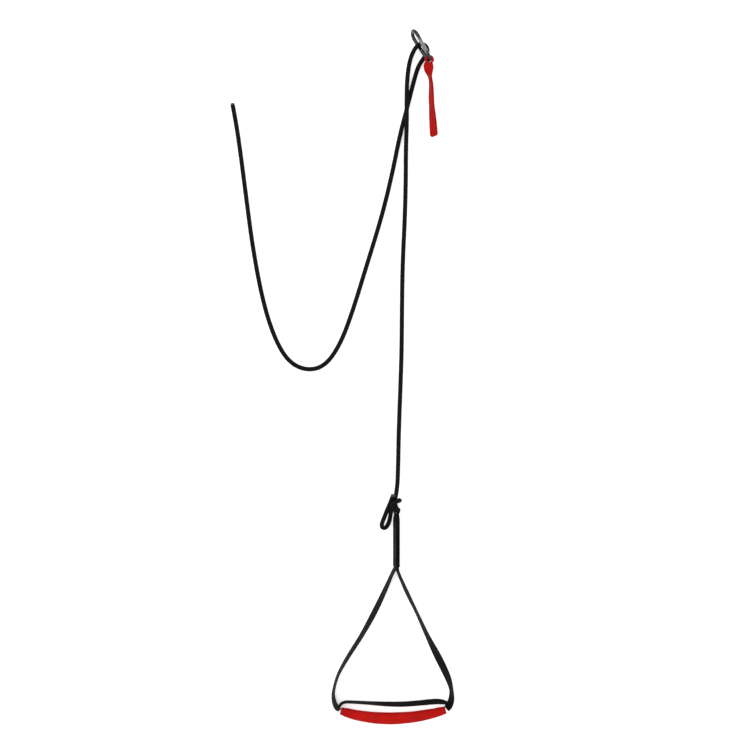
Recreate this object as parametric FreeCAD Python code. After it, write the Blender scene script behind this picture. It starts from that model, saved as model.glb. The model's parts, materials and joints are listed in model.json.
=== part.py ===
import FreeCAD
import Part
import math
import os

# Shoulder pulley: a steel snap hook, one 6 mm braided rope that runs through it, a webbing
# handle tied to the rope and a red anchor strap on the hook. It lies on a flat surface at
# z = 0, with the hook on its spine. Millimetres, +Z up, +Y from the handle to the hook.

Vector = FreeCAD.Vector
UP = Vector(0, 0, 1)

# --- rope ---------------------------------------------------------------------------------
ROPE_DIAMETER = 6.0
ROPE_RADIUS = ROPE_DIAMETER / 2
ARC_SHARE = 0.45  # an arc starts this share of the shorter run before its point
SEAL_LENGTH = 2.5  # melted ends of the rope
SEAL_TAPER = 0.6

# --- snap hook ----------------------------------------------------------------------------
HOOK_LENGTH = 50.0
HOOK_WIRE = 5.0
HOOK_LARGE_BOW = 10.0  # radius of the wire's centreline
HOOK_SMALL_BOW = 6.0
HOOK_CENTRE = Vector(36.8, 445.5, 14.9)
HOOK_HEADING = 30.0  # of the long axis, left of +Y
HOOK_PITCH = 6.0  # large bow down
HOOK_LEAN = 14.0  # gate to the right of the spine

PIVOT_AT = 3.5  # along the gate side, from the small bow's tangent point
GATE_END_GAP = 0.35  # between the gate's end and the nose's full section
GATE_END_FROM_BOW = 0.95  # from the gap to the large bow's tangent point
TONGUE_THICKNESS = 2.0
TONGUE_SIDE_GAP = 0.1
TONGUE_HALF_WIDTH = 1.7
CAM_RADIUS = 2.1  # round end of the hinge tongue, off centre so that it lifts the plunger
CAM_OFFSET = 0.4
CAM_GAP = 0.03
FORK_DEPTH = 2.6  # from the pivot to the bottom of the gate's fork
FORK_END_GAP = 0.25
RIVET_RADIUS = 0.95
RIVET_GAP = 0.05
RIVET_HEAD_RADIUS = 1.5
RIVET_HEAD_HEIGHT = 0.5
RIVET_SEAT = 2.05  # half the width across the spot-faced cheeks
RIVET_SEAT_GAP = 0.04
SPOT_FACE_RADIUS = 1.8
LATCH_PIN_RADIUS = 0.7
LATCH_FROM_GATE_END = 2.2
LATCH_NOTCH_GAP = 0.3
NOSE_LENGTH = 4.2  # of the nose tongue, from the gate's end
NOSE_END_RADIUS = 1.2
NOSE_SLOT_GAP = 0.6
NOSE_HALF_WIDTH = 2.2
BORE_RADIUS = 1.0
BORE_DEPTH = 8.4
PLUNGER_RADIUS = 0.92
PLUNGER_LENGTH = 3.0
SPRING_WIRE = 0.36
SPRING_MEAN_RADIUS = 0.74
SPRING_TURNS = 7
SPRING_STROKE = 0.3  # room that the plunger needs as the gate opens

# --- webbing ------------------------------------------------------------------------------
WEBBING_WIDTH = 13.0
WEBBING_THICKNESS = 1.3
REST_GAP = 0.2  # under the lowest edge of a strap
LAYER_GAP = 0.05
STITCH_HEIGHT = 0.4
STITCH_MARGIN = 1.2
STRAP_STEPS = 3  # sections from one station of a strap to the next

# --- anchor strap -------------------------------------------------------------------------
STRAP_BUNDLE_RADIUS = 1.55  # webbing gathered round the hook's wire
STRAP_BUNDLE_GAP = 0.35
STRAP_LAYERS = 2
# x, y, height of the centre, roll of the width from level, width
ANCHOR_STATIONS = [
    (47.6, 421.4, 17.0, 8, 10.0),
    (47.2, 417.0, 15.2, 8, 12.6),
    (48.2, 410.8, 11.8, 38, 12.0),
    (49.5, 403.8, 8.6, 66, 12.4),
    (50.8, 390.0, 7.1, 75, WEBBING_WIDTH),
    (50.9, 374.0, 7.0, 70, WEBBING_WIDTH),
    (52.0, 358.0, 6.9, 64, WEBBING_WIDTH),
    (53.4, 341.0, 6.5, 56, WEBBING_WIDTH),
    (54.4, 325.0, 6.5, 54, WEBBING_WIDTH),
]
TACK_FIRST_SECTION = 12  # sections between which the two layers are sewn
TACK_LAST_SECTION = 15

# --- handle -------------------------------------------------------------------------------
NECK_FOOT = Vector(3.9, -256.0, 7.0)  # where the legs leave the neck
NECK_PITCH = 3.2  # the eye is held up by the rope that passes under it
NECK_ROLL = 80.0
NECK_LENGTH = 51.0  # of the four sewn layers
LEG_END_INSET = 1.0
EYE_REACH = 76.5  # from the neck's foot to the rope in the eye
EYE_ROPE_GAP = 1.6
EYE_TIP_WIDTH = 7.6  # webbing gathered in the rope's bend
EYE_TAPER_LENGTH = 16.0
UPPER_STITCHES_LENGTH = 14.0
UPPER_STITCHES_START = NECK_LENGTH - UPPER_STITCHES_LENGTH - 5.0  # along the neck
LOWER_STITCHES_LENGTH = 9.0
LOWER_STITCHES_START = 4.0

LEFT_LEG_STATIONS = [
    (-1.2, -265.0, 76),
    (-12.2, -291.2, 65),
    (-26.3, -320.2, 61),
    (-42.7, -349.9, 70),
    (-61.5, -379.6, 74),
    (-74.2, -403.0, 80),
    (-80.2, -424.0, 83),
    (-80.2, -437.0, 80),
    (-77.0, -446.6, 80),
    (-72.6, -450.3, 84),
]
RIGHT_LEG_STATIONS = [
    (7.1, -265.0, 76),
    (19.0, -291.2, 68),
    (33.1, -320.2, 71),
    (46.9, -349.9, 66),
    (60.6, -377.0, 46),
    (68.9, -393.8, 47),
    (75.0, -408.0, 56),
    (79.2, -422.8, 74),
    (79.8, -434.5, 70),
    (76.6, -444.8, 62),
    (71.6, -449.0, 74),
]
CORNER_STITCH_SPAN = 3  # sections of the leg's end that the corner's stitches cover

HAND_STRAP_STATIONS = [
    (-72.8, -446.2, 84),
    (-71.4, -442.0, 82),
    (-67.0, -439.6, 80),
    (-60.0, -439.2, 76),
    (-38.0, -440.4, 72),
    (-12.0, -442.0, 66),
    (10.0, -442.7, 61),
    (32.5, -440.8, 56),
    (54.0, -439.2, 52),
    (72.4, -441.6, 60),
]

# --- grip ---------------------------------------------------------------------------------
GRIP_WALL = 1.1
GRIP_CORE_GAP = 0.05
GRIP_STRAP_GAP = 0.1
GRIP_END_WIDTH = 10.8  # across the grip and level
GRIP_WIDTH = 15.6  # in the middle
GRIP_END_FOAM = 0.35  # over and under the webbing at the grip's ends
GRIP_SWELL = 0.6  # how much taller the middle is than the ends
GRIP_END_HEIGHT = WEBBING_WIDTH + 2 * (GRIP_WALL + GRIP_CORE_GAP + GRIP_END_FOAM)
GRIP_HEIGHT = GRIP_END_HEIGHT + GRIP_SWELL
GRIP_REST_GAP = 0.3  # under the grip's middle
GRIP_LEVEL = GRIP_HEIGHT / 2 + GRIP_REST_GAP
GRIP_LEFT = Vector(-71.2, -450.6, GRIP_LEVEL)
GRIP_RIGHT = Vector(70.2, -449.2, GRIP_LEVEL)
GRIP_LOW = Vector(-9.0, -461.4, GRIP_LEVEL)
GRIP_SECTIONS = 6  # on each side of the lowest point


def wire_of(points):
    """Closed polygon through the points."""
    return Part.makePolygon(list(points) + [points[0]])


def placed(shape, origin, x_axis, y_axis, z_axis):
    """The shape moved from its own frame to the frame with this origin and these axes."""
    moved = shape.copy()
    rotation = FreeCAD.Rotation(x_axis, y_axis, z_axis, "XYZ")
    moved.Placement = FreeCAD.Placement(origin, rotation).multiply(moved.Placement)
    return moved


def save(name, shape):
    """Writes one node, after a look at its solids."""
    if not shape.isValid():
        print("not valid:", name)
    box = shape.optimalBoundingBox()
    print(
        f"{name}: {len(shape.Solids)} solid, {shape.Volume:.1f} mm3, "
        f"z {box.ZMin:.2f} to {box.ZMax:.2f}"
    )
    shape.exportStep(f"parts/{name}.step")


# --- rope ---------------------------------------------------------------------------------
# The route of the whole rope's centreline, from its tail end at the handle, through the
# knot, up to the hook, round the hook's spine and down the free side to the bare end.
TAIL_ROUTE = [
    (-3.2, -158.6, 12.8),
    (-8.0, -168.6, 11.6),
    (-12.2, -179.0, 11.4),
    (-15.8, -189.6, 12.0),
    (-18.6, -201.4, 11.6),
    (-13.0, -205.4, 7.6),
    (-7.4, -201.4, 3.6),
    (-7.0, -192.6, 4.6),
    (-6.2, -183.8, 11.2),
    (-4.4, -174.0, 20.4),
    (0.0, -165.4, 27.2),
    (9.8, -160.8, 25.6),
    (12.1, -159.4, 14.6),
    (9.6, -160.6, 4.2),
    (2.6, -166.8, 3.2),
    (2.6, -177.0, 3.2),
    (4.0, -181.6, 11.3),
    (5.2, -177.0, 19.4),
]
LOAD_ROUTE = [
    (3.6, -158.0, 18.2),
    (4.2, -138.0, 8.4),
    (6.4, -112.0, 3.0),
    (7.3, -68.0, 3.0),
    (9.2, -18.0, 3.0),
    (11.0, 34.0, 3.0),
    (11.4, 90.0, 3.0),
    (12.2, 150.0, 3.0),
    (15.2, 212.0, 3.0),
    (16.6, 262.0, 3.0),
    (16.7, 306.0, 3.4),
    (17.9, 346.0, 9.9),
    (17.6, 378.0, 9.9),
    (18.4, 402.0, 6.0),
    (21.0, 423.0, 6.6),
]
HOOK_ROUTE = [
    (26.2, 438.6, 10.8),
    (34.6, 448.6, 13.8),
    (43.8, 446.8, 10.8),
    (46.8, 438.4, 4.4),
    (40.8, 430.4, 3.0),
]
FREE_ROUTE = [
    (33.0, 419.0, 3.0),
    (26.0, 394.0, 3.0),
    (18.6, 364.0, 3.0),
    (8.4, 326.0, 3.0),
    (-1.4, 276.0, 3.0),
    (-15.4, 218.0, 3.0),
    (-37.0, 148.0, 3.0),
    (-57.0, 83.0, 3.0),
    (-73.4, 41.0, 3.0),
    (-93.6, 13.6, 3.0),
    (-118.6, 8.4, 3.0),
    (-143.0, 21.0, 3.0),
    (-161.6, 54.0, 3.0),
    (-176.6, 102.0, 3.0),
    (-189.6, 170.0, 3.0),
    (-198.6, 238.0, 3.0),
    (-207.0, 304.0, 3.0),
    (-212.6, 342.0, 3.0),
    (-217.4, 367.2, 3.0),
]
ROUTE = [Vector(*p) for p in TAIL_ROUTE + LOAD_ROUTE + HOOK_ROUTE + FREE_ROUTE]
# Runs in whose middle one tube ends and the next begins.
KNOT_RUN = len(TAIL_ROUTE)
HOOK_RUN = len(TAIL_ROUTE) + len(LOAD_ROUTE) - 1
FREE_RUN = HOOK_RUN + len(HOOK_ROUTE)


def corner_arc(before, point, after):
    """The largest arc that a point's two runs allow, with its radius."""
    back = before - point
    ahead = after - point
    setback = ARC_SHARE * min(back.Length, ahead.Length)
    back.normalize()
    ahead.normalize()
    turn = math.pi - back.getAngle(ahead)
    radius = setback / math.tan(turn / 2)
    bisector = back + ahead
    bisector.normalize()
    middle = point + bisector * (radius / math.cos(turn / 2) - radius)
    return point + back * setback, middle, point + ahead * setback, radius, turn


def rope_tube(first, last):
    """The tube from the middle of run first, or the rope's start, to the middle of run last."""
    edges = []
    radii = []
    start = ROUTE[0] if first < 0 else (ROUTE[first] + ROUTE[first + 1]) * 0.5
    for i in range(max(first, 0) + 1, last + 1):
        enter, middle, leave, radius, turn = corner_arc(ROUTE[i - 1], ROUTE[i], ROUTE[i + 1])
        edges.append(Part.LineSegment(start, enter).toShape())
        edges.append(Part.Arc(enter, middle, leave).toShape())
        radii.append(f"{radius:.0f}")
        start = leave
    end = ROUTE[-1] if last == len(ROUTE) - 2 else (ROUTE[last] + ROUTE[last + 1]) * 0.5
    edges.append(Part.LineSegment(start, end).toShape())
    path = Part.Wire(edges)
    heading = edges[0].tangentAt(edges[0].FirstParameter)
    section = Part.Wire(Part.makeCircle(ROPE_RADIUS, edges[0].valueAt(0), heading))
    tube = path.makePipeShell([section], True, False)
    expected = path.Length * math.pi * ROPE_RADIUS**2
    print(
        f"rope {first}..{last}: {path.Length:.1f} mm, volume ratio "
        f"{tube.Volume / expected:.4f}, radii {' '.join(radii)}"
    )
    return tube


def rope_seal(end, inward):
    """Melted, slightly tapered end of the rope, outside the point end."""
    outward = end - inward
    outward.normalize()
    return Part.makeCone(ROPE_RADIUS, ROPE_RADIUS - SEAL_TAPER, SEAL_LENGTH, end, outward)


def make_rope():
    last_run = len(ROUTE) - 2
    save("rope_knot", rope_tube(-1, KNOT_RUN))
    save("rope_load_run", rope_tube(KNOT_RUN, HOOK_RUN))
    save("rope_hook_turn", rope_tube(HOOK_RUN, FREE_RUN))
    save("rope_free_run", rope_tube(FREE_RUN, last_run))
    save("rope_tail_seal", rope_seal(ROUTE[0], ROUTE[1]))
    save("rope_free_seal", rope_seal(ROUTE[-1], ROUTE[-2]))


# --- snap hook ----------------------------------------------------------------------------
# The hook's own frame: x along its length to the large bow, y from spine to gate, z across.
LARGE_X = HOOK_LENGTH / 2 - HOOK_WIRE / 2 - HOOK_LARGE_BOW
SMALL_X = -HOOK_LENGTH / 2 + HOOK_WIRE / 2 + HOOK_SMALL_BOW
BOW_DISTANCE = LARGE_X - SMALL_X
SIDE_ANGLE = math.asin((HOOK_LARGE_BOW - HOOK_SMALL_BOW) / BOW_DISTANCE)
SIDE_LENGTH = BOW_DISTANCE * math.cos(SIDE_ANGLE)
WIRE_RADIUS = HOOK_WIRE / 2
GATE_END = SIDE_LENGTH - GATE_END_FROM_BOW - GATE_END_GAP
FORK_HALF_SLOT = TONGUE_THICKNESS / 2 + TONGUE_SIDE_GAP
LATCH_AT = GATE_END - LATCH_FROM_GATE_END


def hook_axes():
    """Directions of the hook's own x, y and z in the assembly."""
    heading = math.radians(HOOK_HEADING)
    pitch = math.radians(HOOK_PITCH)
    lean = math.radians(HOOK_LEAN)
    level = Vector(-math.sin(heading), math.cos(heading), 0)
    right = Vector(math.cos(heading), math.sin(heading), 0)
    along = level * math.cos(pitch) - UP * math.sin(pitch)
    above = right.cross(along)
    across = right * math.sin(lean) + above * math.cos(lean)
    return along, across, along.cross(across)


def in_assembly(shape):
    """From the hook's own frame to its place in the assembly."""
    return placed(shape, HOOK_CENTRE, *hook_axes())


def on_gate_side(shape):
    """From the gate side's frame (x along the gate, y outward) to the hook's own frame."""
    sine = math.sin(SIDE_ANGLE)
    cosine = math.cos(SIDE_ANGLE)
    origin = Vector(SMALL_X - HOOK_SMALL_BOW * sine, HOOK_SMALL_BOW * cosine, 0)
    return placed(shape, origin, Vector(cosine, sine, 0), Vector(-sine, cosine, 0), UP)


def bow_point(centre_x, radius, angle_deg):
    angle = math.radians(angle_deg)
    return Vector(centre_x + radius * math.cos(angle), radius * math.sin(angle), 0)


def hook_wire():
    """Round bar bent from the gate's nose round the large bow, spine and small bow."""
    side = math.degrees(SIDE_ANGLE)
    nose = bow_point(LARGE_X, HOOK_LARGE_BOW, 90 + side)
    spine_top = bow_point(LARGE_X, HOOK_LARGE_BOW, -90 - side)
    spine_low = bow_point(SMALL_X, HOOK_SMALL_BOW, -90 - side)
    hinge = bow_point(SMALL_X, HOOK_SMALL_BOW, 90 + side)
    gate_line = nose - hinge
    gate_line.normalize()
    nose_end = nose - gate_line * GATE_END_FROM_BOW
    hinge_end = hinge + gate_line * (PIVOT_AT - WIRE_RADIUS - FORK_END_GAP)
    large_top = bow_point(LARGE_X, HOOK_LARGE_BOW, 0)
    small_low = bow_point(SMALL_X, HOOK_SMALL_BOW, 180)
    edges = [
        Part.LineSegment(nose_end, nose).toShape(),
        Part.Arc(nose, large_top, spine_top).toShape(),
        Part.LineSegment(spine_top, spine_low).toShape(),
        Part.Arc(spine_low, small_low, hinge).toShape(),
        Part.LineSegment(hinge, hinge_end).toShape(),
    ]
    section = Part.Wire(Part.makeCircle(WIRE_RADIUS, nose_end, gate_line))
    return Part.Wire(edges).makePipeShell([section], True, False)


def plate(outline, thickness):
    """A flat plate of the outline, centred on z = 0."""
    face = Part.Face(outline)
    face.translate(Vector(0, 0, -thickness / 2))
    return face.extrude(Vector(0, 0, thickness))


def hinge_tongue():
    """Flattened end in the gate's fork, with the off-centre round that moves the plunger."""
    low = TONGUE_HALF_WIDTH
    start = PIVOT_AT - WIRE_RADIUS - FORK_END_GAP
    strip = wire_of(
        [
            Vector(start, -low, 0),
            Vector(PIVOT_AT, -low, 0),
            Vector(PIVOT_AT, low, 0),
            Vector(start, low, 0),
        ]
    )
    cam_centre = Vector(PIVOT_AT, -CAM_OFFSET, 0)
    cam = Part.Wire(Part.makeCircle(CAM_RADIUS, cam_centre, UP))
    tongue = plate(strip, TONGUE_THICKNESS).fuse(plate(cam, TONGUE_THICKNESS))
    hole_base = Vector(PIVOT_AT, 0, -TONGUE_THICKNESS)
    return tongue.cut(Part.makeCylinder(RIVET_RADIUS, 2 * TONGUE_THICKNESS, hole_base, UP))


def nose_tongue():
    """Flattened end in the gate's upper slot, with the notch that takes the latch pin."""
    high = GATE_END + GATE_END_GAP
    end = GATE_END - NOSE_LENGTH
    half = NOSE_HALF_WIDTH
    round_start = end + NOSE_END_RADIUS
    flat = half - NOSE_END_RADIUS
    slant = NOSE_END_RADIUS * math.sqrt(0.5)
    lower_mid = Vector(round_start - slant, -flat - slant, 0)
    upper_mid = Vector(round_start - slant, flat + slant, 0)
    edges = [
        Part.LineSegment(Vector(high, -half, 0), Vector(round_start, -half, 0)),
        Part.Arc(Vector(round_start, -half, 0), lower_mid, Vector(end, -flat, 0)),
        Part.LineSegment(Vector(end, -flat, 0), Vector(end, flat, 0)),
        Part.Arc(Vector(end, flat, 0), upper_mid, Vector(round_start, half, 0)),
        Part.LineSegment(Vector(round_start, half, 0), Vector(high, half, 0)),
        Part.LineSegment(Vector(high, half, 0), Vector(high, -half, 0)),
    ]
    tongue = plate(Part.Wire([e.toShape() for e in edges]), TONGUE_THICKNESS)
    notch_radius = LATCH_PIN_RADIUS + LATCH_NOTCH_GAP
    base = Vector(LATCH_AT, 0, -TONGUE_THICKNESS)
    notch = Part.makeCylinder(notch_radius, 2 * TONGUE_THICKNESS, base, UP)
    mouth = Part.makeBox(
        2 * notch_radius,
        HOOK_WIRE,
        2 * TONGUE_THICKNESS,
        Vector(LATCH_AT - notch_radius, -HOOK_WIRE, -TONGUE_THICKNESS),
    )
    return tongue.cut(notch.fuse(mouth))


def make_hook_body():
    tongues = on_gate_side(hinge_tongue()).fuse(on_gate_side(nose_tongue()))
    return in_assembly(hook_wire().fuse(tongues).removeSplitter())


def cross_pin(x, radius, half_length):
    """A pin across the gate, along its own z."""
    return Part.makeCylinder(radius, 2 * half_length, Vector(x, 0, -half_length), UP)


def make_gate():
    """Round bar with a fork at the hinge, a slot for the nose and a bore for the spring."""
    along = Vector(1, 0, 0)
    bar = Part.makeCylinder(WIRE_RADIUS, GATE_END - PIVOT_AT, Vector(PIVOT_AT, 0, 0), along)
    end_chamfer = bar.makeChamfer(0.5, [e for e in bar.Edges if e.BoundBox.XMin > GATE_END - 0.1])
    bar = end_chamfer.fuse(Part.makeSphere(WIRE_RADIUS, Vector(PIVOT_AT, 0, 0)))
    fork = Part.makeBox(
        FORK_DEPTH + HOOK_WIRE,
        2 * HOOK_WIRE,
        2 * FORK_HALF_SLOT,
        Vector(PIVOT_AT - HOOK_WIRE, -HOOK_WIRE, -FORK_HALF_SLOT),
    )
    slot = Part.makeBox(
        NOSE_LENGTH + NOSE_SLOT_GAP + HOOK_WIRE,
        2 * HOOK_WIRE,
        2 * FORK_HALF_SLOT,
        Vector(GATE_END - NOSE_LENGTH - NOSE_SLOT_GAP, -HOOK_WIRE, -FORK_HALF_SLOT),
    )
    bore_start = Vector(PIVOT_AT, 0, 0)
    bore = Part.makeCylinder(BORE_RADIUS, FORK_DEPTH + BORE_DEPTH, bore_start, along)
    gate = bar.cut(fork).cut(slot).cut(bore)
    gate = gate.cut(cross_pin(PIVOT_AT, RIVET_RADIUS + RIVET_GAP, HOOK_WIRE))
    gate = gate.cut(cross_pin(LATCH_AT, LATCH_PIN_RADIUS, HOOK_WIRE))
    for side in (1, -1):
        base = Vector(PIVOT_AT, 0, side * RIVET_SEAT)
        gate = gate.cut(Part.makeCylinder(SPOT_FACE_RADIUS, HOOK_WIRE, base, UP * side))
    return in_assembly(on_gate_side(gate))


def make_rivet():
    """Shank through the tongue, with a low domed head on each cheek."""
    seat = RIVET_SEAT + RIVET_SEAT_GAP
    rivet = cross_pin(PIVOT_AT, RIVET_RADIUS, seat)
    for side in (1, -1):
        base = Vector(PIVOT_AT, 0, side * seat)
        top_radius = RIVET_HEAD_RADIUS * 0.7
        head = Part.makeCone(RIVET_HEAD_RADIUS, top_radius, RIVET_HEAD_HEIGHT, base, UP * side)
        rivet = rivet.fuse(head)
    return in_assembly(on_gate_side(rivet))


def make_latch_pin():
    half_length = math.sqrt(WIRE_RADIUS**2 - LATCH_PIN_RADIUS**2)
    return in_assembly(on_gate_side(cross_pin(LATCH_AT, LATCH_PIN_RADIUS, half_length)))


def plunger_tip():
    """Distance from the pivot to the plunger's tip, where it touches the tongue's round."""
    reach = math.sqrt((CAM_RADIUS + PLUNGER_RADIUS) ** 2 - CAM_OFFSET**2)
    return PIVOT_AT + reach - PLUNGER_RADIUS + CAM_GAP


def make_plunger():
    along = Vector(1, 0, 0)
    tip_centre = Vector(plunger_tip() + PLUNGER_RADIUS, 0, 0)
    tip = Part.makeSphere(PLUNGER_RADIUS, tip_centre)
    length = PLUNGER_LENGTH - PLUNGER_RADIUS
    stem = Part.makeCylinder(PLUNGER_RADIUS, length, tip_centre, along)
    return in_assembly(on_gate_side(stem.fuse(tip).removeSplitter()))


def make_spring():
    """Coil between the plunger and the bottom of the gate's bore."""
    start = plunger_tip() + PLUNGER_LENGTH + SPRING_STROKE + SPRING_WIRE / 2
    end = PIVOT_AT + FORK_DEPTH + BORE_DEPTH - SPRING_WIRE
    pitch = (end - start) / SPRING_TURNS
    helix = Part.makeHelix(pitch, end - start, SPRING_MEAN_RADIUS)
    section = Part.Wire(
        Part.makeCircle(SPRING_WIRE / 2, Vector(SPRING_MEAN_RADIUS, 0, 0), Vector(0, 1, 0))
    )
    coil = Part.Wire(helix.Edges).makePipeShell([section], True, True)
    lying = placed(coil, Vector(start, 0, 0), Vector(0, 1, 0), UP, Vector(1, 0, 0))
    return in_assembly(on_gate_side(lying))


def make_hook():
    save("hook_body", make_hook_body())
    save("hook_gate", make_gate())
    save("gate_hinge_rivet", make_rivet())
    save("gate_latch_pin", make_latch_pin())
    save("gate_plunger", make_plunger())
    save("gate_spring", make_spring())


# --- straps -------------------------------------------------------------------------------
def between(a, b, c, d, t):
    """Smooth value from b to c at t, with a and d as the values beyond them."""
    return 0.5 * (
        2 * b + (c - a) * t + (2 * a - 5 * b + 4 * c - d) * t**2 + (3 * b - a - 3 * c + d) * t**3
    )


def smoothed(stations):
    """The stations with STRAP_STEPS sections from each one to the next."""
    last = len(stations) - 1
    fine = []
    for i in range(last):
        four = [stations[max(i - 1, 0)], stations[i], stations[i + 1], stations[min(i + 2, last)]]
        for step in range(STRAP_STEPS):
            t = step / STRAP_STEPS
            fine.append(tuple(between(*values, t) for values in zip(*four)))
    return fine + [stations[last]]


def headings(points):
    """Level direction of a path at each of its points."""
    found = []
    for i in range(len(points)):
        ahead = points[min(i + 1, len(points) - 1)]
        behind = points[max(i - 1, 0)]
        direction = Vector(ahead.x - behind.x, ahead.y - behind.y, 0)
        direction.normalize()
        found.append(direction)
    return found


def strap_sections(stations, thickness):
    """Rectangles square to the path, for stations of x, y, z, roll and width."""
    centres = [Vector(x, y, z) for x, y, z, roll, width in stations]
    sections = []
    for centre, heading, station in zip(centres, headings(centres), stations):
        roll = math.radians(station[3])
        side = UP.cross(heading)
        wide = (side * math.cos(roll) + UP * math.sin(roll)) * (station[4] / 2)
        thick = (side * math.sin(roll) - UP * math.cos(roll)) * (thickness / 2)
        corners = [
            centre - wide - thick,
            centre + wide - thick,
            centre + wide + thick,
            centre - wide + thick,
        ]
        sections.append(wire_of(corners))
    return sections


def strap(stations, thickness):
    """Webbing that follows the sections and twists with their roll."""
    return Part.makeLoft(strap_sections(stations, thickness), True, True)


def laid(stations):
    """Stations of x, y and roll, with the strap's lower edge just above the surface."""
    full = []
    for x, y, roll in stations:
        angle = math.radians(roll)
        rise = WEBBING_WIDTH / 2 * math.sin(angle) + WEBBING_THICKNESS / 2 * math.cos(angle)
        full.append((x, y, rise + REST_GAP, roll, WEBBING_WIDTH))
    return full


def raised_stitches(stations, thickness):
    """A sewn patch on both faces of a strap, along these of its stations."""
    narrower = [(x, y, z, roll, width - 2 * STITCH_MARGIN) for x, y, z, roll, width in stations]
    return Part.makeLoft(strap_sections(narrower, thickness + 2 * STITCH_HEIGHT), True, True)


def anchor_ring():
    """Webbing gathered round the wire at the hook's small bow."""
    ring_radius = WIRE_RADIUS + STRAP_BUNDLE_GAP + STRAP_BUNDLE_RADIUS
    apex = Vector(SMALL_X - HOOK_SMALL_BOW, 0, 0)
    ring = Part.makeTorus(ring_radius, STRAP_BUNDLE_RADIUS, apex, Vector(0, 1, 0))
    return in_assembly(ring)


def make_anchor_strap():
    thickness = STRAP_LAYERS * WEBBING_THICKNESS + LAYER_GAP
    stations = smoothed(ANCHOR_STATIONS)
    band = strap(stations, thickness)
    save("anchor_strap", band.fuse(anchor_ring()).removeSplitter())
    sewn = stations[TACK_FIRST_SECTION : TACK_LAST_SECTION + 1]
    stitches = raised_stitches(sewn, thickness)
    save("anchor_strap_tack", stitches.cut(band))


# --- handle -------------------------------------------------------------------------------
def neck_axes():
    """Directions through the neck's layers, along the neck and across its width."""
    pitch = math.radians(NECK_PITCH)
    roll = math.radians(NECK_ROLL)
    along = Vector(0, math.cos(pitch), math.sin(pitch))
    side = Vector(1, 0, 0)
    across = side * math.cos(roll) + side.cross(along) * math.sin(roll)
    return along.cross(across), along, across


def on_neck(shape):
    """From the neck's frame (x through its layers, y along it, z across its width)."""
    return placed(shape, NECK_FOOT, *neck_axes())


def eye_outline(half_width, bow_radius, bottom):
    """Two straight sides that open into a bow round the rope."""
    bow_centre = Vector(0, EYE_REACH, 0)
    start = Vector(half_width, NECK_LENGTH, 0)
    reach = bow_centre - start
    base_angle = math.atan2(reach.y, reach.x)
    tangent_angle = base_angle - math.asin(bow_radius / reach.Length)
    touch_angle = tangent_angle - math.pi / 2
    touch = bow_centre + Vector(math.cos(touch_angle), math.sin(touch_angle), 0) * bow_radius
    top = bow_centre + Vector(0, bow_radius, 0)
    mirrored = Vector(-touch.x, touch.y, 0)
    edges = [
        Part.LineSegment(Vector(half_width, bottom, 0), start),
        Part.LineSegment(start, touch),
        Part.Arc(touch, top, mirrored),
        Part.LineSegment(mirrored, Vector(-half_width, NECK_LENGTH, 0)),
        Part.LineSegment(Vector(-half_width, NECK_LENGTH, 0), Vector(-half_width, bottom, 0)),
        Part.LineSegment(Vector(-half_width, bottom, 0), Vector(half_width, bottom, 0)),
    ]
    return Part.Wire([e.toShape() for e in edges])


def eye_taper(side):
    """What is taken off one edge of the eye, where the rope gathers the webbing."""
    tip = EYE_REACH + ROPE_RADIUS + EYE_ROPE_GAP + 2 * WEBBING_THICKNESS
    start = EYE_REACH - EYE_TAPER_LENGTH
    full = side * WEBBING_WIDTH / 2
    narrow = side * EYE_TIP_WIDTH / 2
    reach = WEBBING_WIDTH
    outline = wire_of(
        [
            Vector(-reach, start, full),
            Vector(-reach, EYE_REACH - ROPE_RADIUS, narrow),
            Vector(-reach, tip, narrow),
            Vector(-reach, tip, full * 2),
            Vector(-reach, start, full * 2),
        ]
    )
    return Part.Face(outline).extrude(Vector(2 * reach, 0, 0))


INNER_HALF_STACK = WEBBING_THICKNESS + 1.5 * LAYER_GAP
OUTER_HALF_STACK = INNER_HALF_STACK + WEBBING_THICKNESS


def make_eye():
    """Webbing folded round the rope, its two ends lying outside the legs' ends."""
    inner_bow = ROPE_RADIUS + EYE_ROPE_GAP
    outer_line = eye_outline(OUTER_HALF_STACK, inner_bow + WEBBING_THICKNESS, 0)
    inner_line = eye_outline(INNER_HALF_STACK, inner_bow, -1)
    eye = plate(outer_line, WEBBING_WIDTH).cut(plate(inner_line, WEBBING_WIDTH + 1))
    for side in (1, -1):
        eye = eye.cut(eye_taper(side))
    return on_neck(eye)


def neck_stitches(start, length):
    """A sewn patch on each outer face of the neck."""
    width = WEBBING_WIDTH - 2 * STITCH_MARGIN
    patches = []
    for face_x in (OUTER_HALF_STACK, -OUTER_HALF_STACK - STITCH_HEIGHT):
        base = Vector(face_x, start, -width / 2)
        patches.append(Part.makeBox(STITCH_HEIGHT, length, width, base))
    return on_neck(Part.makeCompound(patches))


def leg_in_neck(side):
    """The leg's layer between the eye's two ends, down to the neck's foot."""
    inner_face = LAYER_GAP / 2 if side > 0 else -LAYER_GAP / 2 - WEBBING_THICKNESS
    base = Vector(inner_face, 0, -WEBBING_WIDTH / 2)
    layer = Part.makeBox(WEBBING_THICKNESS, NECK_LENGTH - LEG_END_INSET, WEBBING_WIDTH, base)
    return on_neck(layer)


def leg_foot_station(side):
    """Where the leg's layer leaves the neck's foot."""
    through, along, across = neck_axes()
    centre = NECK_FOOT + through * (side * (WEBBING_THICKNESS + LAYER_GAP) / 2)
    return (centre.x, centre.y, centre.z, NECK_ROLL, WEBBING_WIDTH)


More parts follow.
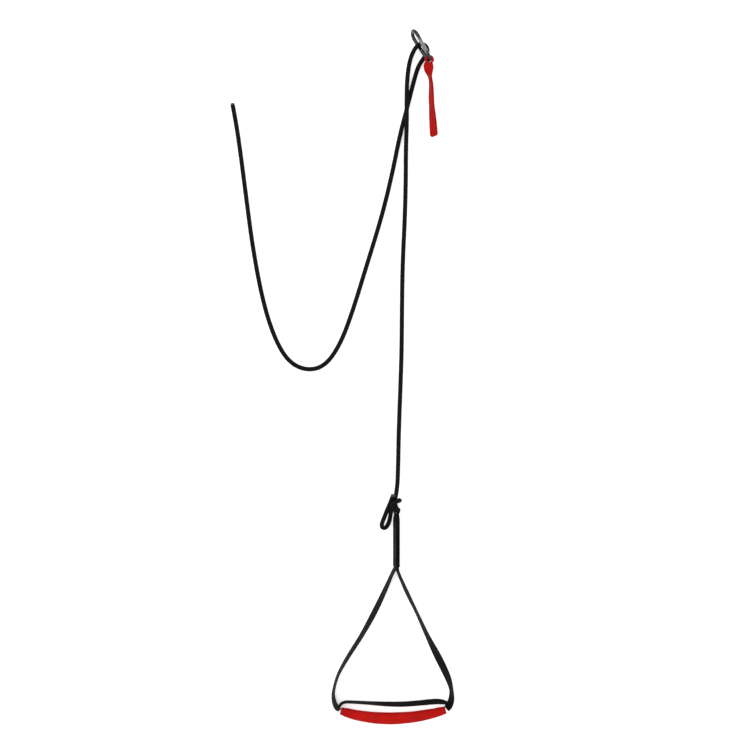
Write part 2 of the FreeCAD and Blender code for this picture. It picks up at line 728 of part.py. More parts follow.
def make_leg(name, side, stations):
    """One leg, from its end in the neck round the corner to the grip's end."""
    sections = smoothed([leg_foot_station(side)] + laid(stations))
    free_part = strap(sections, WEBBING_THICKNESS)
    leg = leg_in_neck(side).fuse(free_part)
    save(f"{name}_leg", leg)
    stitches = raised_stitches(sections[-CORNER_STITCH_SPAN:], WEBBING_THICKNESS)
    save(f"{name}_corner_tack", stitches.cut(leg))


# --- grip ---------------------------------------------------------------------------------
def grip_centres():
    """Points along two arcs that meet level at the grip's lowest point."""
    centres = []
    for end, order in ((GRIP_LEFT, -1), (GRIP_RIGHT, 1)):
        span = end.x - GRIP_LOW.x
        rise = end.y - GRIP_LOW.y
        radius = (span**2 + rise**2) / (2 * rise)
        half = []
        for step in range(GRIP_SECTIONS + 1):
            turn = math.asin(span / radius) * step / GRIP_SECTIONS
            offset = Vector(radius * math.sin(turn), radius * (1 - math.cos(turn)), 0)
            half.append(GRIP_LOW + offset)
        centres = centres + half[1:] if order > 0 else half[::-1]
    return centres


def grip_fullness(step):
    """From 0 at the grip's ends to 1 in its middle."""
    return math.sin(math.pi * step / (2 * GRIP_SECTIONS)) ** 0.8


def along_grip(section_at):
    """Loft of the sections that section_at makes for half width, half height and a placement."""
    centres = grip_centres()
    sections = []
    for step, (centre, heading) in enumerate(zip(centres, headings(centres))):
        fullness = grip_fullness(step)
        half_width = (GRIP_END_WIDTH + (GRIP_WIDTH - GRIP_END_WIDTH) * fullness) / 2
        half_height = (GRIP_END_HEIGHT + (GRIP_HEIGHT - GRIP_END_HEIGHT) * fullness) / 2
        side = UP.cross(heading)
        section = section_at(half_width, half_height)
        sections.append(placed(section, centre, side, UP, side.cross(UP)))
    return Part.makeLoft(sections, True, False)


def oval(inset):
    """Section maker for an oval that lies inset inside the grip's surface."""

    def section(half_width, half_height):
        radii = sorted((half_width - inset, half_height - inset))
        ellipse = Part.Ellipse(Vector(0, 0, 0), radii[1], radii[0]).toShape()
        wire = Part.Wire(ellipse)
        if half_height > half_width:
            wire.rotate(Vector(0, 0, 0), Vector(0, 0, 1), 90)
        return wire

    return section


def upright_strap(extra):
    """Section maker for the webbing on edge in the grip, grown by extra all round."""

    def section(half_width, half_height):
        half_thickness = WEBBING_THICKNESS / 2 + extra
        half_tall = WEBBING_WIDTH / 2 + extra
        return wire_of(
            [
                Vector(-half_thickness, -half_tall, 0),
                Vector(half_thickness, -half_tall, 0),
                Vector(half_thickness, half_tall, 0),
                Vector(-half_thickness, half_tall, 0),
            ]
        )

    return section


def make_grip():
    outer = along_grip(oval(0))
    save("grip_cover", outer.cut(along_grip(oval(GRIP_WALL))))
    core = along_grip(oval(GRIP_WALL + GRIP_CORE_GAP))
    save("grip_core", core.cut(along_grip(upright_strap(GRIP_STRAP_GAP))))
    save("grip_webbing", along_grip(upright_strap(0)))


def make_handle():
    save("eye_webbing", make_eye())
    save("neck_stitching_upper", neck_stitches(UPPER_STITCHES_START, UPPER_STITCHES_LENGTH))
    save("neck_stitching_lower", neck_stitches(LOWER_STITCHES_START, LOWER_STITCHES_LENGTH))
    make_leg("left", -1, LEFT_LEG_STATIONS)
    make_leg("right", 1, RIGHT_LEG_STATIONS)
    save("hand_strap", strap(smoothed(laid(HAND_STRAP_STATIONS)), WEBBING_THICKNESS))


make_rope()
make_hook()
make_anchor_strap()
make_handle()
make_grip()
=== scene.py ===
"""Looks of a rope pull for shoulder exercises: braided rope, webbing handle, padded grip, snap hook."""
import json
import math

import bpy
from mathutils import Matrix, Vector, noise


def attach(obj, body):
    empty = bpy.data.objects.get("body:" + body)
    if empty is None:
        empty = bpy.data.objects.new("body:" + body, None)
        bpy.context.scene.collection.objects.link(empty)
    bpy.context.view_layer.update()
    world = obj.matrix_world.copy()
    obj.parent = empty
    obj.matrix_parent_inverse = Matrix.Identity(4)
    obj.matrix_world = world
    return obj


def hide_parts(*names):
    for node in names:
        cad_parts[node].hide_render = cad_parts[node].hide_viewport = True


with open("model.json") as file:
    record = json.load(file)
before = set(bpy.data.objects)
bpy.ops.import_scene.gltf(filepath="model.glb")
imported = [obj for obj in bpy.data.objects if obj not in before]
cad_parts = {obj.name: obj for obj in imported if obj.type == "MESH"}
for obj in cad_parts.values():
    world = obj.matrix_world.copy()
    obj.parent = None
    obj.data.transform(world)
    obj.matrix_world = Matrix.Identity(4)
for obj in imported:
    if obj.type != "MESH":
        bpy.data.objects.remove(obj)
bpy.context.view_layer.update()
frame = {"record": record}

UP = Vector((0, 0, 1))

# Lengths are in metres, and angles in radians where they aren't said to be in degrees.

# --- camera, light and floor ------------------------------------------------------------------
CAMERA_PLACE = (-0.025, 0.0024, 2.506)
CAMERA_LENS = 88.9  # in millimetres, on the sensor below
SENSOR_WIDTH = 36
CAMERA_FAR = 20
WORLD_STRENGTH = 1.05
AREA_LIGHTS = (("key", (-1.0, 1.2, 2.2), 1.6, 20), ("fill", (1.4, -1.2, 1.8), 1.8, 8))
FLOOR_REACH = 6.0
FLOOR_GREY = 0.85
FLOOR_GLOW = 0.45  # keeps the shadows faint, as in the photograph

# --- rope: the whole rope's route, from its tail end in the knot to its free end -------------
ROPE_DIAMETER = 0.006
KNOT_ROUTE = [
    (-0.0008, -0.1592, 0.0222),
    (-0.0036, -0.1672, 0.0190),
    (-0.0076, -0.1768, 0.0156),
    (-0.0112, -0.1858, 0.0143),
    (-0.0136, -0.1918, 0.0143),
    (-0.0162, -0.1986, 0.0143),
    (-0.0154, -0.2028, 0.0118),
    (-0.0122, -0.2042, 0.0082),
    (-0.0086, -0.2019, 0.0057),
    (-0.0054, -0.1946, 0.0060),
    (-0.0044, -0.1874, 0.0092),
    (-0.0034, -0.1812, 0.0154),
    (-0.0018, -0.1740, 0.0214),
    (-0.0006, -0.1700, 0.0252),
    (0.0032, -0.1670, 0.0262),
    (0.0070, -0.1662, 0.0228),
    (0.0082, -0.1662, 0.0176),
    (0.0082, -0.1664, 0.0110),
    (0.0070, -0.1668, 0.0062),
    (0.0034, -0.1684, 0.0032),
    (0.0016, -0.1720, 0.0031),
    (0.0018, -0.1772, 0.0032),
    (0.0042, -0.1808, 0.0113),
    (0.0040, -0.1772, 0.0192),
]
LOAD_ROUTE = [
    (0.0010, -0.1676, 0.0186),
    (0.0034, -0.1584, 0.0170),
    (0.0052, -0.1450, 0.0104),
    (0.0058, -0.1340, 0.0064),
    (0.0064, -0.1120, 0.0030),
    (0.0073, -0.0680, 0.0030),
    (0.0092, -0.0180, 0.0030),
    (0.0110, 0.0340, 0.0030),
    (0.0114, 0.0900, 0.0030),
    (0.0122, 0.1500, 0.0030),
    (0.0152, 0.2120, 0.0030),
    (0.0166, 0.2620, 0.0030),
    (0.0167, 0.3060, 0.0034),
    (0.0179, 0.3460, 0.0099),
    (0.0176, 0.3780, 0.0099),
    (0.0184, 0.4020, 0.0060),
    (0.0210, 0.4230, 0.0066),
]
HOOK_ROUTE = [
    (0.0262, 0.4386, 0.0108),
    (0.0346, 0.4486, 0.0138),
    (0.0438, 0.4468, 0.0108),
    (0.0468, 0.4384, 0.0044),
    (0.0408, 0.4304, 0.0030),
]
FREE_ROUTE = [
    (0.0330, 0.4190, 0.0030),
    (0.0260, 0.3940, 0.0030),
    (0.0186, 0.3640, 0.0030),
    (0.0084, 0.3260, 0.0030),
    (-0.0014, 0.2760, 0.0030),
    (-0.0154, 0.2180, 0.0030),
    (-0.0370, 0.1480, 0.0030),
    (-0.0570, 0.0830, 0.0030),
    (-0.0734, 0.0410, 0.0030),
    (-0.0936, 0.0136, 0.0030),
    (-0.1186, 0.0084, 0.0030),
    (-0.1430, 0.0210, 0.0030),
    (-0.1616, 0.0540, 0.0030),
    (-0.1766, 0.1020, 0.0030),
    (-0.1896, 0.1700, 0.0030),
    (-0.1986, 0.2380, 0.0030),
    (-0.2070, 0.3040, 0.0030),
    (-0.2126, 0.3420, 0.0030),
    (-0.2174, 0.3672, 0.0030),
]
ROPE_ROUTE = KNOT_ROUTE + LOAD_ROUTE + HOOK_ROUTE + FREE_ROUTE
BRAID_CARRIERS = 8  # strands that wind each way
BRAID_PITCH = 0.021  # of one strand's turn round the rope
BRAID_RELIEF = 0.00042
BRAID_SUNK = 0.75  # share of the relief that lies inside the rope's diameter
BRAID_BASE = 0.55
BRAID_CROWN = 0.45
BRAID_ROUNDNESS = 0.7
BRAID_STEP = 0.0006
BRAID_SIDES = 40
SPLINE_STEPS = 16
PATH_STEP = 0.0012
BEAD_RADIUS = 0.0031
BEAD_LENGTH = 0.0034
BEAD_OVERLAP = 0.6  # share of the bead that covers the braid
BEAD_RINGS = 14
BEAD_LUMPS = 0.00022

# --- webbing ----------------------------------------------------------------------------------
WEBBING_WIDTH = 0.013
WEBBING_THICKNESS = 0.0013
REST_GAP = 0.0002
RIB_PITCH = 0.00105  # of the lengthwise ribs
PICK_PITCH = 0.0013  # of the crosswise threads
WEAVE_RELIEF = 0.00011
WEAVE_BASE = 0.45
WEAVE_PICKS = 0.55
FLAT_SHARE = 0.93  # of half the width, from the middle
SELVEDGE_SHARE = 0.07  # of half the width, rounded off
STRAP_STEP = 0.0004
HEADING_REACH = 2  # stations each way that a strap's heading is read over
FACE_POINTS = 40
# x, y, and the roll of the width from level in degrees
LEFT_LEG = [
    (-0.0014, -0.2650, 74),
    (-0.0130, -0.2912, 65),
    (-0.0271, -0.3202, 60),
    (-0.0436, -0.3499, 68),
    (-0.0624, -0.3796, 72),
    (-0.0750, -0.4030, 77),
    (-0.0808, -0.4240, 75),
    (-0.0803, -0.4370, 62),
    (-0.0768, -0.4462, 52),
    (-0.0728, -0.4502, 58),
]
RIGHT_LEG = [
    (0.0068, -0.2650, 74),
    (0.0182, -0.2912, 68),
    (0.0322, -0.3202, 71),
    (0.0459, -0.3499, 62),
    (0.0595, -0.3770, 42),
    (0.0678, -0.3938, 43),
    (0.0740, -0.4080, 52),
    (0.0780, -0.4228, 68),
    (0.0782, -0.4345, 58),
    (0.0754, -0.4434, 50),
    (0.0715, -0.4483, 58),
]
HAND_STRAP = [
    (-0.0738, -0.4462, 72),
    (-0.0710, -0.4419, 69),
    (-0.0668, -0.4395, 65),
    (-0.0600, -0.4389, 64),
    (-0.0380, -0.4400, 62),
    (-0.0120, -0.4416, 54),
    (0.0100, -0.4420, 50),
    (0.0300, -0.4408, 49),
    (0.0540, -0.4386, 47),
    (0.0640, -0.4387, 51),
    (0.0702, -0.4400, 60),
    (0.0740, -0.4426, 64),
]
# x, y, z, roll in degrees, and width
ANCHOR_STRAP = [
    (0.0474, 0.4226, 0.0166, 8, 0.0108),
    (0.0469, 0.4190, 0.0156, 8, 0.0132),
    (0.0474, 0.4146, 0.0138, 18, 0.0132),
    (0.0484, 0.4098, 0.0108, 52, 0.0126),
    (0.0493, 0.4045, 0.0086, 77, 0.0126),
    (0.0505, 0.3960, 0.0072, 76, 0.0130),
    (0.0509, 0.3877, 0.0068, 71, 0.0130),
    (0.0510, 0.3765, 0.0067, 66, 0.0130),
    (0.0516, 0.3653, 0.0067, 66, 0.0130),
    (0.0524, 0.3541, 0.0063, 57, 0.0130),
    (0.0533, 0.3429, 0.0060, 50, 0.0130),
    (0.0541, 0.3317, 0.0058, 46, 0.0130),
    (0.0546, 0.3266, 0.0058, 46, 0.0128),
    (0.0551, 0.3246, 0.0058, 46, 0.0070),
]
LAYER_GAP = 0.00005

# --- the handle's neck and eye ----------------------------------------------------------------
NECK_FOOT = Vector((0.0039, -0.256, 0.007))
NECK_PITCH = 3.2  # degrees
NECK_ROLL = 70.0  # degrees
NECK_LENGTH = 0.051
NECK_STEPS = 8
LEG_TOP_INSET = 0.001  # of the legs' upper ends from the top of the neck
EYE_REACH = 0.0765  # from the neck's foot to the rope's centre
EYE_ROPE_GAP = 0.0002
EYE_TIP_WIDTH = 0.0076
EYE_FLARE_START = 0.063  # from the neck's foot to where the eye opens round the rope
EYE_LEAN = math.radians(38)
EYE_GATHER_START = 0.003  # beyond the flare's start
EYE_GATHER_RUN = 0.009
EYE_SIDE_STEPS = 60
EYE_FLARE_STEPS = 30
EYE_TURN_STEPS = 60

# --- the anchor strap's fold round the hook's small bow ----------------------------------------
WIRE_APEX = Vector((0.04799, 0.42612, 0.01725))  # the hook's wire at the end of its small bow
LOOP_REACH = 0.0044  # from the wire's centre to the fold inside the bow
LOOP_HALF_WIDTH = 0.0045
LOOP_SWEEP = math.radians(112)
LOOP_WIDTH = 0.0036  # of the gathered strap at the middle of the fold
LOOP_WIDENING = 0.0034  # from there to each end of the turn round the wire
KNUCKLE_STEPS = 48
KNUCKLE_FOOT = 4  # the strap's fine section where the fold's limbs come together
FOOT_WIDTH_SHARE = 0.96
FOOT_SPREAD = 0.6  # of the webbing's thickness, from the strap's middle to each limb's foot
LIMB_BULGE = 0.9
GATHER_SPAN = 0.009  # what the width gains from full gathers to none
GATHER_SWELL = 0.0010
PLEAT_DEPTH = 0.0005
PLEAT_RATE = 5200  # radians per metre of width
WEAVE_SHIFT = 0.02  # keeps the weave's count of ribs above zero

# --- stitches ---------------------------------------------------------------------------------
THREAD_RADIUS = 0.00028
GRIP_THREAD_RADIUS = 0.00022
THREAD_SIDES = 6
THREAD_SHARES = (0.0, 0.15, 0.5, 0.85, 1.0)  # of a thread's length, where its rings lie
BOX_STITCH = 0.0016
BOX_STITCH_GAP = 0.0005
ROW_STITCH = 0.0014
ROW_STITCH_GAP = 0.0004
STITCH_INSET = 0.0014  # of the stitches from the black webbing's edge
# node, and from where to where along the neck
NECK_PATCHES = (("neck_stitching_upper", 0.032, 0.046), ("neck_stitching_lower", 0.004, 0.013))
CORNER_SECTIONS = slice(-14, -3)  # the leg's fine sections that the corner's rows lie on
CORNER_ROWS = 4
TACK_PARTS = 21  # equal parts of the anchor strap's length
TACK_FIRST_PART = 4
TACK_LAST_PART = 7
TACK_ROWS = 6
TACK_INSET = 0.0018

# --- grip -------------------------------------------------------------------------------------
GRIP_LEFT = Vector((-0.0712, -0.4506, 0.0086))
GRIP_RIGHT = Vector((0.0702, -0.4492, 0.0086))
GRIP_LOW = Vector((-0.0060, -0.4606, 0.0086))
GRIP_WIDTH = 0.0170
GRIP_HEIGHT = 0.0166
GRIP_END_WIDTH = 0.0116
GRIP_END_HEIGHT = 0.0160
GRIP_GIRTH = 0.05
GRIP_LENGTH = 0.145  # about; it picks the creases that the threads lie in
SLEEVE_WALL = 0.00077
SLEEVE_INSET = 0.0004  # of the sleeve's skin from the full outline
SLEEVE_RINGS = 110  # on each side of the lowest point
SLEEVE_SIDES = 80
SEAM_ANGLE = math.radians(262)  # of the long seam, under the grip
SEAM_HALF_WIDTH = 0.045  # in radians round the grip
SEAM_DEPTH = 0.0005
HEM_SHARE = 0.03  # of the grip's length, from each end to the sewn hem
HEM_HALF_WIDTH = 0.006  # as a share of the grip's length, like the next two spans
GATHER_REACH = 0.02
CREASE_REACH = 0.08
HEM_DEPTH = 0.0004
GATHER_DEPTH = 0.0006
CREASE_DEPTH = 0.00015
END_CREASE_DEPTH = 0.0007
SOFT_RELIEF = 0.00035
SEAM_STITCHES = 62
SEAM_BARE_STITCHES = 2  # left out at each end of the seam
SEAM_ROW_OFFSET = 0.16  # in radians, from the seam to the row on each side of it
HEM_STITCHES = 22
STITCH_SHARE = 0.7  # of a stitch and its gap


def make_camera():
    """Straight down from above, the way the photograph was taken."""
    data = bpy.data.cameras.new("camera")
    data.sensor_width = SENSOR_WIDTH
    data.lens = CAMERA_LENS
    data.clip_end = CAMERA_FAR
    camera = bpy.data.objects.new("camera", data)
    camera.location = CAMERA_PLACE
    bpy.context.scene.collection.objects.link(camera)
    bpy.context.scene.camera = camera


# --- node materials ---------------------------------------------------------------------------
class Nodes:
    """A few words for building a node tree."""

    def __init__(self, name):
        self.material = bpy.data.materials.new(name)
        self.material.use_nodes = True
        self.tree = self.material.node_tree
        self.shader = self.tree.nodes["Principled BSDF"]

    def add(self, kind, **values):
        """A new node, with its sockets and settings given by name."""
        node = self.tree.nodes.new(kind)
        for key, value in values.items():
            if key in node.inputs:
                node.inputs[key].default_value = value
            else:
                setattr(node, key, value)
        return node

    def join(self, source, target):
        self.tree.links.new(source, target)

    def set(self, **values):
        """Values on the shader's own sockets, with _ for each space in a socket's name."""
        for key, value in values.items():
            self.shader.inputs[key.replace("_", " ")].default_value = value

    def place(self):
        """The object's own coordinates."""
        return self.add("ShaderNodeTexCoord").outputs["Object"]

    def noise(self, scale, detail):
        """Noise through the solid, so that it needs no UV map."""
        node = self.add("ShaderNodeTexNoise", Scale=scale, Detail=detail)
        self.join(self.place(), node.inputs["Vector"])
        return node.outputs["Fac"]

    def ramp(self, factor, low, high, start=0.3, end=0.7):
        """Colours from low to high as the factor goes from start to end."""
        node = self.add("ShaderNodeValToRGB")
        node.color_ramp.elements[0].position = start
        node.color_ramp.elements[1].position = end
        node.color_ramp.elements[0].color = (*low, 1)
        node.color_ramp.elements[1].color = (*high, 1)
        self.join(factor, node.inputs["Fac"])
        return node.outputs["Color"]

    def span(self, factor, low, high):
        """Values from low to high as the factor goes from 0 to 1."""
        node = self.add("ShaderNodeMapRange")
        node.inputs["To Min"].default_value = low
        node.inputs["To Max"].default_value = high
        self.join(factor, node.inputs["Value"])
        return node.outputs["Result"]

    def math(self, operation, first, second):
        """A sum or product of two values, each a number or a socket."""
        node = self.add("ShaderNodeMath", operation=operation)
        for socket, value in zip(node.inputs, (first, second)):
            if isinstance(value, (int, float)):
                socket.default_value = value
            else:
                self.join(value, socket)
        return node.outputs[0]

    def mix(self, first, share, second, rest):
        """Share of the first value plus rest of the second."""
        return self.math(
            "ADD", self.math("MULTIPLY", first, share), self.math("MULTIPLY", second, rest)
        )

    def bump(self, height, distance, strength):
        node = self.add("ShaderNodeBump", Distance=distance, Strength=strength)
        self.join(height, node.inputs["Height"])
        return node.outputs["Normal"]


def fibre_material(name, dark, light, roughness, sheen, along_scale=900.0):
    """Yarn with fine fibres and uneven colour; the weave itself is in the mesh."""
    n = Nodes(name)
    uv = n.add("ShaderNodeUVMap").outputs["UV"]
    stretch = n.add("ShaderNodeMapping")
    stretch.inputs["Scale"].default_value = (along_scale * 4, along_scale, 1)
    n.join(uv, stretch.inputs["Vector"])
    fibres = n.add("ShaderNodeTexNoise", Scale=1.0, Detail=3.0)
    n.join(stretch.outputs["Vector"], fibres.inputs["Vector"])
    blotches = n.noise(60.0, 3.0)
    mixed = n.mix(fibres.outputs["Fac"], 0.6, blotches, 0.4)
    n.join(n.ramp(mixed, dark, light), n.shader.inputs["Base Color"])
    n.join(n.span(mixed, roughness - 0.08, roughness + 0.1), n.shader.inputs["Roughness"])
    n.join(n.bump(fibres.outputs["Fac"], 0.00012, 0.5), n.shader.inputs["Normal"])
    n.set(Sheen_Weight=sheen, Sheen_Roughness=0.45, Specular_IOR_Level=0.05)
    return n.material


def steel_material(name, colour, roughness):
    """Plated steel with fine polishing marks and slightly duller patches."""
    n = Nodes(name)
    marks = n.noise(2600.0, 2.0)
    patches = n.noise(140.0, 3.0)
    n.join(n.ramp(patches, [c * 0.8 for c in colour], colour), n.shader.inputs["Base Color"])
    n.join(n.span(patches, roughness, roughness + 0.12), n.shader.inputs["Roughness"])
    n.join(n.bump(marks, 0.00003, 0.25), n.shader.inputs["Normal"])
    n.set(Metallic=1.0)
    return n.material


def melted_material():
    """Rope fibres melted to a hard, uneven bead."""
    n = Nodes("melted_rope")
    lumps = n.noise(900.0, 3.0)
    n.join(n.ramp(lumps, (0.004, 0.004, 0.004), (0.012, 0.012, 0.013)), n.shader.inputs["Base Color"])
    n.join(n.span(lumps, 0.3, 0.6), n.shader.inputs["Roughness"])
    n.join(n.bump(lumps, 0.0004, 0.8), n.shader.inputs["Normal"])
    return n.material


def foam_material():
    """Closed-cell foam, seen only at the grip's ends."""
    n = Nodes("foam")
    cells = n.add("ShaderNodeTexVoronoi", Scale=1800.0)
    n.join(n.place(), cells.inputs["Vector"])
    colour = n.ramp(cells.outputs["Distance"], (0.012, 0.012, 0.012), (0.03, 0.03, 0.03), 0.0, 0.6)
    n.join(colour, n.shader.inputs["Base Color"])
    n.join(n.bump(cells.outputs["Distance"], 0.0003, 0.6), n.shader.inputs["Normal"])
    n.set(Roughness=0.9)
    return n.material


def sleeve_material():
    """Close-woven red textile with a soft surface."""
    n = Nodes("red_sleeve")
    uv = n.add("ShaderNodeUVMap").outputs["UV"]
    waves = []
    for direction in ("X", "Y"):
        wave = n.add("ShaderNodeTexWave", Scale=330.0, Distortion=0.6)
        wave.bands_direction = direction
        n.join(uv, wave.inputs["Vector"])
        waves.append(wave.outputs["Fac"])
    weave = n.math("MULTIPLY", waves[0], waves[1])
    blotches = n.noise(45.0, 4.0)
    mixed = n.mix(weave, 0.35, blotches, 0.65)
    colour = n.ramp(mixed, (0.28, 0.004, 0.003), (0.50, 0.007, 0.005), 0.2, 0.75)
    n.join(colour, n.shader.inputs["Base Color"])
    n.join(n.span(weave, 0.62, 0.8), n.shader.inputs["Roughness"])
    n.join(n.bump(weave, 0.0002, 0.5), n.shader.inputs["Normal"])
    n.set(Sheen_Weight=0.02, Sheen_Roughness=0.5, Specular_IOR_Level=0.05)
    n.set(Sheen_Tint=(0.9, 0.25, 0.22, 1))
    return n.material


MATERIALS = {
    "rope": fibre_material("rope", (0.002, 0.002, 0.0022), (0.008, 0.008, 0.0085), 0.66, 0.0, 500.0),
    "black_webbing": fibre_material(
        "black_webbing", (0.0022, 0.0022, 0.0027), (0.0085, 0.0085, 0.0098), 0.6, 0.0
    ),
    "black_thread": fibre_material("black_thread", (0.003, 0.003, 0.004), (0.01, 0.01, 0.012), 0.5, 0.0),
    "red_webbing": fibre_material("red_webbing", (0.24, 0.003, 0.002), (0.46, 0.007, 0.005), 0.62, 0.01),
    "red_thread": fibre_material("red_thread", (0.30, 0.006, 0.005), (0.5, 0.015, 0.012), 0.5, 0.1),
    "melted_rope": melted_material(),
    "red_sleeve": sleeve_material(),
    "foam": foam_material(),
    # The hook body's steel colour is made very dark as a painted dark reflection, so the polished metal
    # shows dark under the white studio light.
    "steel": steel_material("steel", (0.045, 0.045, 0.048), 0.13),
    # The gate is the same steel as the body, given a lighter colour as a painted highlight where the light
    # falls on its flat face.
    "gate_steel_painted_highlight": steel_material("gate_steel_painted_highlight", (0.24, 0.24, 0.25), 0.2),
    "spring_steel": steel_material("spring_steel", (0.3, 0.3, 0.31), 0.25),
}


# --- swept meshes -----------------------------------------------------------------------------
def smooth_between(a, b, c, d, t):
    """Smooth value from b to c at t, with a and d as the values beyond them."""
    return 0.5 * (
        2 * b + (c - a) * t + (2 * a - 5 * b + 4 * c - d) * t**2 + (3 * b - a - 3 * c + d) * t**3
    )


def smooth_step(t):
    """From 0 to 1, level at both ends."""
    return t * t * (3 - 2 * t)


def distances(points):
    """Distance of each point from the first, along the line of points."""
    found = [0.0]
    for a, b in zip(points, points[1:]):
        found.append(found[-1] + (b - a).length)
    return found


def finely(stations, step):
    """Stations about step apart, on the smooth line through the given ones."""
    last = len(stations) - 1
    fine = []
    for i in range(last):
        four = [stations[max(i - 1, 0)], stations[i], stations[i + 1], stations[min(i + 2, last)]]
        gap = math.dist(stations[i][:3], stations[i + 1][:3])
        count = max(1, round(gap / step))
        for k in range(count):
            fine.append([smooth_between(*values, k / count) for values in zip(*four)])
    return fine + [list(stations[last])]


def mesh_piece(name, points, faces, corner_uvs, material, body):
    """Smooth mesh that rides on a body, with a UV pair for each corner of each face."""
    mesh = bpy.data.meshes.new(name)
    mesh.from_pydata(points, [], faces)
    layer = mesh.uv_layers.new(name="UVMap")
    layer.data.foreach_set("uv", [v for uv in corner_uvs for v in uv])
    mesh.polygons.foreach_set("use_smooth", [True] * len(mesh.polygons))
    mesh.materials.append(MATERIALS[material])
    mesh.validate()
    piece = bpy.data.objects.new(name, mesh)
    bpy.context.scene.collection.objects.link(piece)
    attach(piece, body)
    return piece


def uvs_round(girth, sides, along):
    """UV pairs round a ring; the last one closes it, at the full girth."""
    return [(girth * k / sides, along) for k in range(sides + 1)]


def grid_mesh(name, rings, uvs, material, body, capped=True):
    """Mesh of closed rings of points, joined ring to ring."""
    count = len(rings[0])
    faces = []
    corner_uvs = []
    for i in range(len(rings) - 1):
        for k in range(count):
            m = (k + 1) % count
            faces.append((i * count + k, i * count + m, (i + 1) * count + m, (i + 1) * count + k))
            wrap = uvs[i][(k + 1) % len(uvs[i])]
            wrap_next = uvs[i + 1][(k + 1) % len(uvs[i + 1])]
            corner_uvs += [uvs[i][k], wrap, wrap_next, uvs[i + 1][k]]
    if capped:
        for i, order in ((0, -1), (len(rings) - 1, 1)):
            faces.append(tuple(i * count + k for k in range(count))[::order])
            corner_uvs += uvs[i][:count]
    points = [p for ring in rings for p in ring]
    return mesh_piece(name, points, faces, corner_uvs, material, body)


def weave_height(across, along):
    """Relief of a ribbed plain weave, from 0 to 1."""
    rib = across / RIB_PITCH
    pick = along / PICK_PITCH + 0.5 * (math.floor(rib) % 2)
    picks = WEAVE_BASE + WEAVE_PICKS * abs(math.sin(math.pi * pick))
    return math.sqrt(abs(math.sin(math.pi * rib))) * picks


def webbing_ring(centre, wide, thick, width, along):
    """One ring round a strap: two ribbed faces and rounded selvedges."""
    ring = []
    uvs = []
    half = width / 2
    half_thick = WEBBING_THICKNESS / 2
    for side in (1, -1):
        for k in range(FACE_POINTS):
            share = 1 - 2 * k / (FACE_POINTS - 1)
            across = share * side * half
            edge = max(0.0, abs(share) - FLAT_SHARE) / SELVEDGE_SHARE
            height = half_thick * math.sqrt(max(0.0, 1 - edge**2)) - WEAVE_RELIEF
            height += WEAVE_RELIEF * weave_height(across + half, along) * (1 - edge)
            ring.append(centre + wide * across + thick * (side * height))
            uvs.append((across, along))
    return ring, uvs


def turning_axes(stations):
    """Centre, width and thickness directions for stations of x, y, z, roll and width."""
    centres = [Vector(s[:3]) for s in stations]
    axes = []
    for i, station in enumerate(stations):
        ahead = centres[min(i + HEADING_REACH, len(centres) - 1)]
        behind = centres[max(i - HEADING_REACH, 0)]
        heading = ahead - behind
        side = UP.cross(heading).normalized()
        roll = math.radians(station[3])
        wide = side * math.cos(roll) + UP * math.sin(roll)
        thick = wide.cross(heading).normalized()
        axes.append((centres[i], wide, thick, station[4]))
    return axes


def webbing(name, axes, body, material):
    """Woven strap along the given centres and directions."""
    rings = []
    uvs = []
    for (centre, wide, thick, width), along in zip(axes, distances([a[0] for a in axes])):
        ring, ring_uvs = webbing_ring(centre, wide, thick, width, along)
        rings.append(ring)
        uvs.append(ring_uvs)
    return grid_mesh(name, rings, uvs, material, body)


def laid(stations):
    """Stations of x, y and roll, with the strap's lower edge just above the floor."""
    full = []
    for x, y, roll in stations:
        angle = math.radians(roll)
        rise = WEBBING_WIDTH / 2 * math.sin(angle) + WEBBING_THICKNESS / 2 * math.cos(angle)
        full.append((x, y, rise + REST_GAP, roll, WEBBING_WIDTH))
    return full


# --- rope -------------------------------------------------------------------------------------
def spline_points(route):
    """Points read from the NURBS spline that the route controls."""
    curve = bpy.data.curves.new("rope_line", "CURVE")
    curve.dimensions = "3D"
    curve.resolution_u = SPLINE_STEPS
    spline = curve.splines.new("NURBS")
    spline.points.add(len(route) - 1)
    for point, place in zip(spline.points, route):
        point.co = (*place, 1)
    spline.order_u = 3
    spline.use_endpoint_u = True
    line = bpy.data.objects.new("rope_line", curve)
    bpy.context.scene.collection.objects.link(line)
    mesh = bpy.data.meshes.new_from_object(line)
    points = [v.co.copy() for v in mesh.vertices]
    bpy.data.objects.remove(line)
    return points


def even_steps(points, step):
    """Points step apart along a line of points."""
    found = [points[0]]
    spare = step
    for a, b in zip(points, points[1:]):
        run = (b - a).length
        while spare <= run:
            found.append(a.lerp(b, spare / run))
            spare += step
        spare -= run
    return found


def carried_frames(points):
    """Heading and side at each point, with the side carried along without twist."""
    frames = []
    heading = (points[1] - points[0]).normalized()
    side = heading.cross(UP).normalized()
    for i, point in enumerate(points):
        ahead = (points[min(i + 1, len(points) - 1)] - points[max(i - 1, 0)]).normalized()
        side = (heading.rotation_difference(ahead) @ side).normalized()
        heading = ahead
        frames.append((point, heading, side))
    return frames


def braid_height(angle, along):
    """Relief of a round braid: strands both ways, each over one and under one."""
    turn = angle / math.tau
    first = BRAID_CARRIERS * (turn + along / BRAID_PITCH)
    second = BRAID_CARRIERS * (turn - along / BRAID_PITCH)
    over = (math.floor(first) + math.floor(second)) % 2 == 0
    crosswise = (first if over else second) % 1 - 0.5
    lengthwise = (second if over else first) % 1 - 0.5
    crown = BRAID_BASE + BRAID_CROWN * math.cos(math.pi * lengthwise)
    return math.cos(math.pi * crosswise) ** BRAID_ROUNDNESS * crown


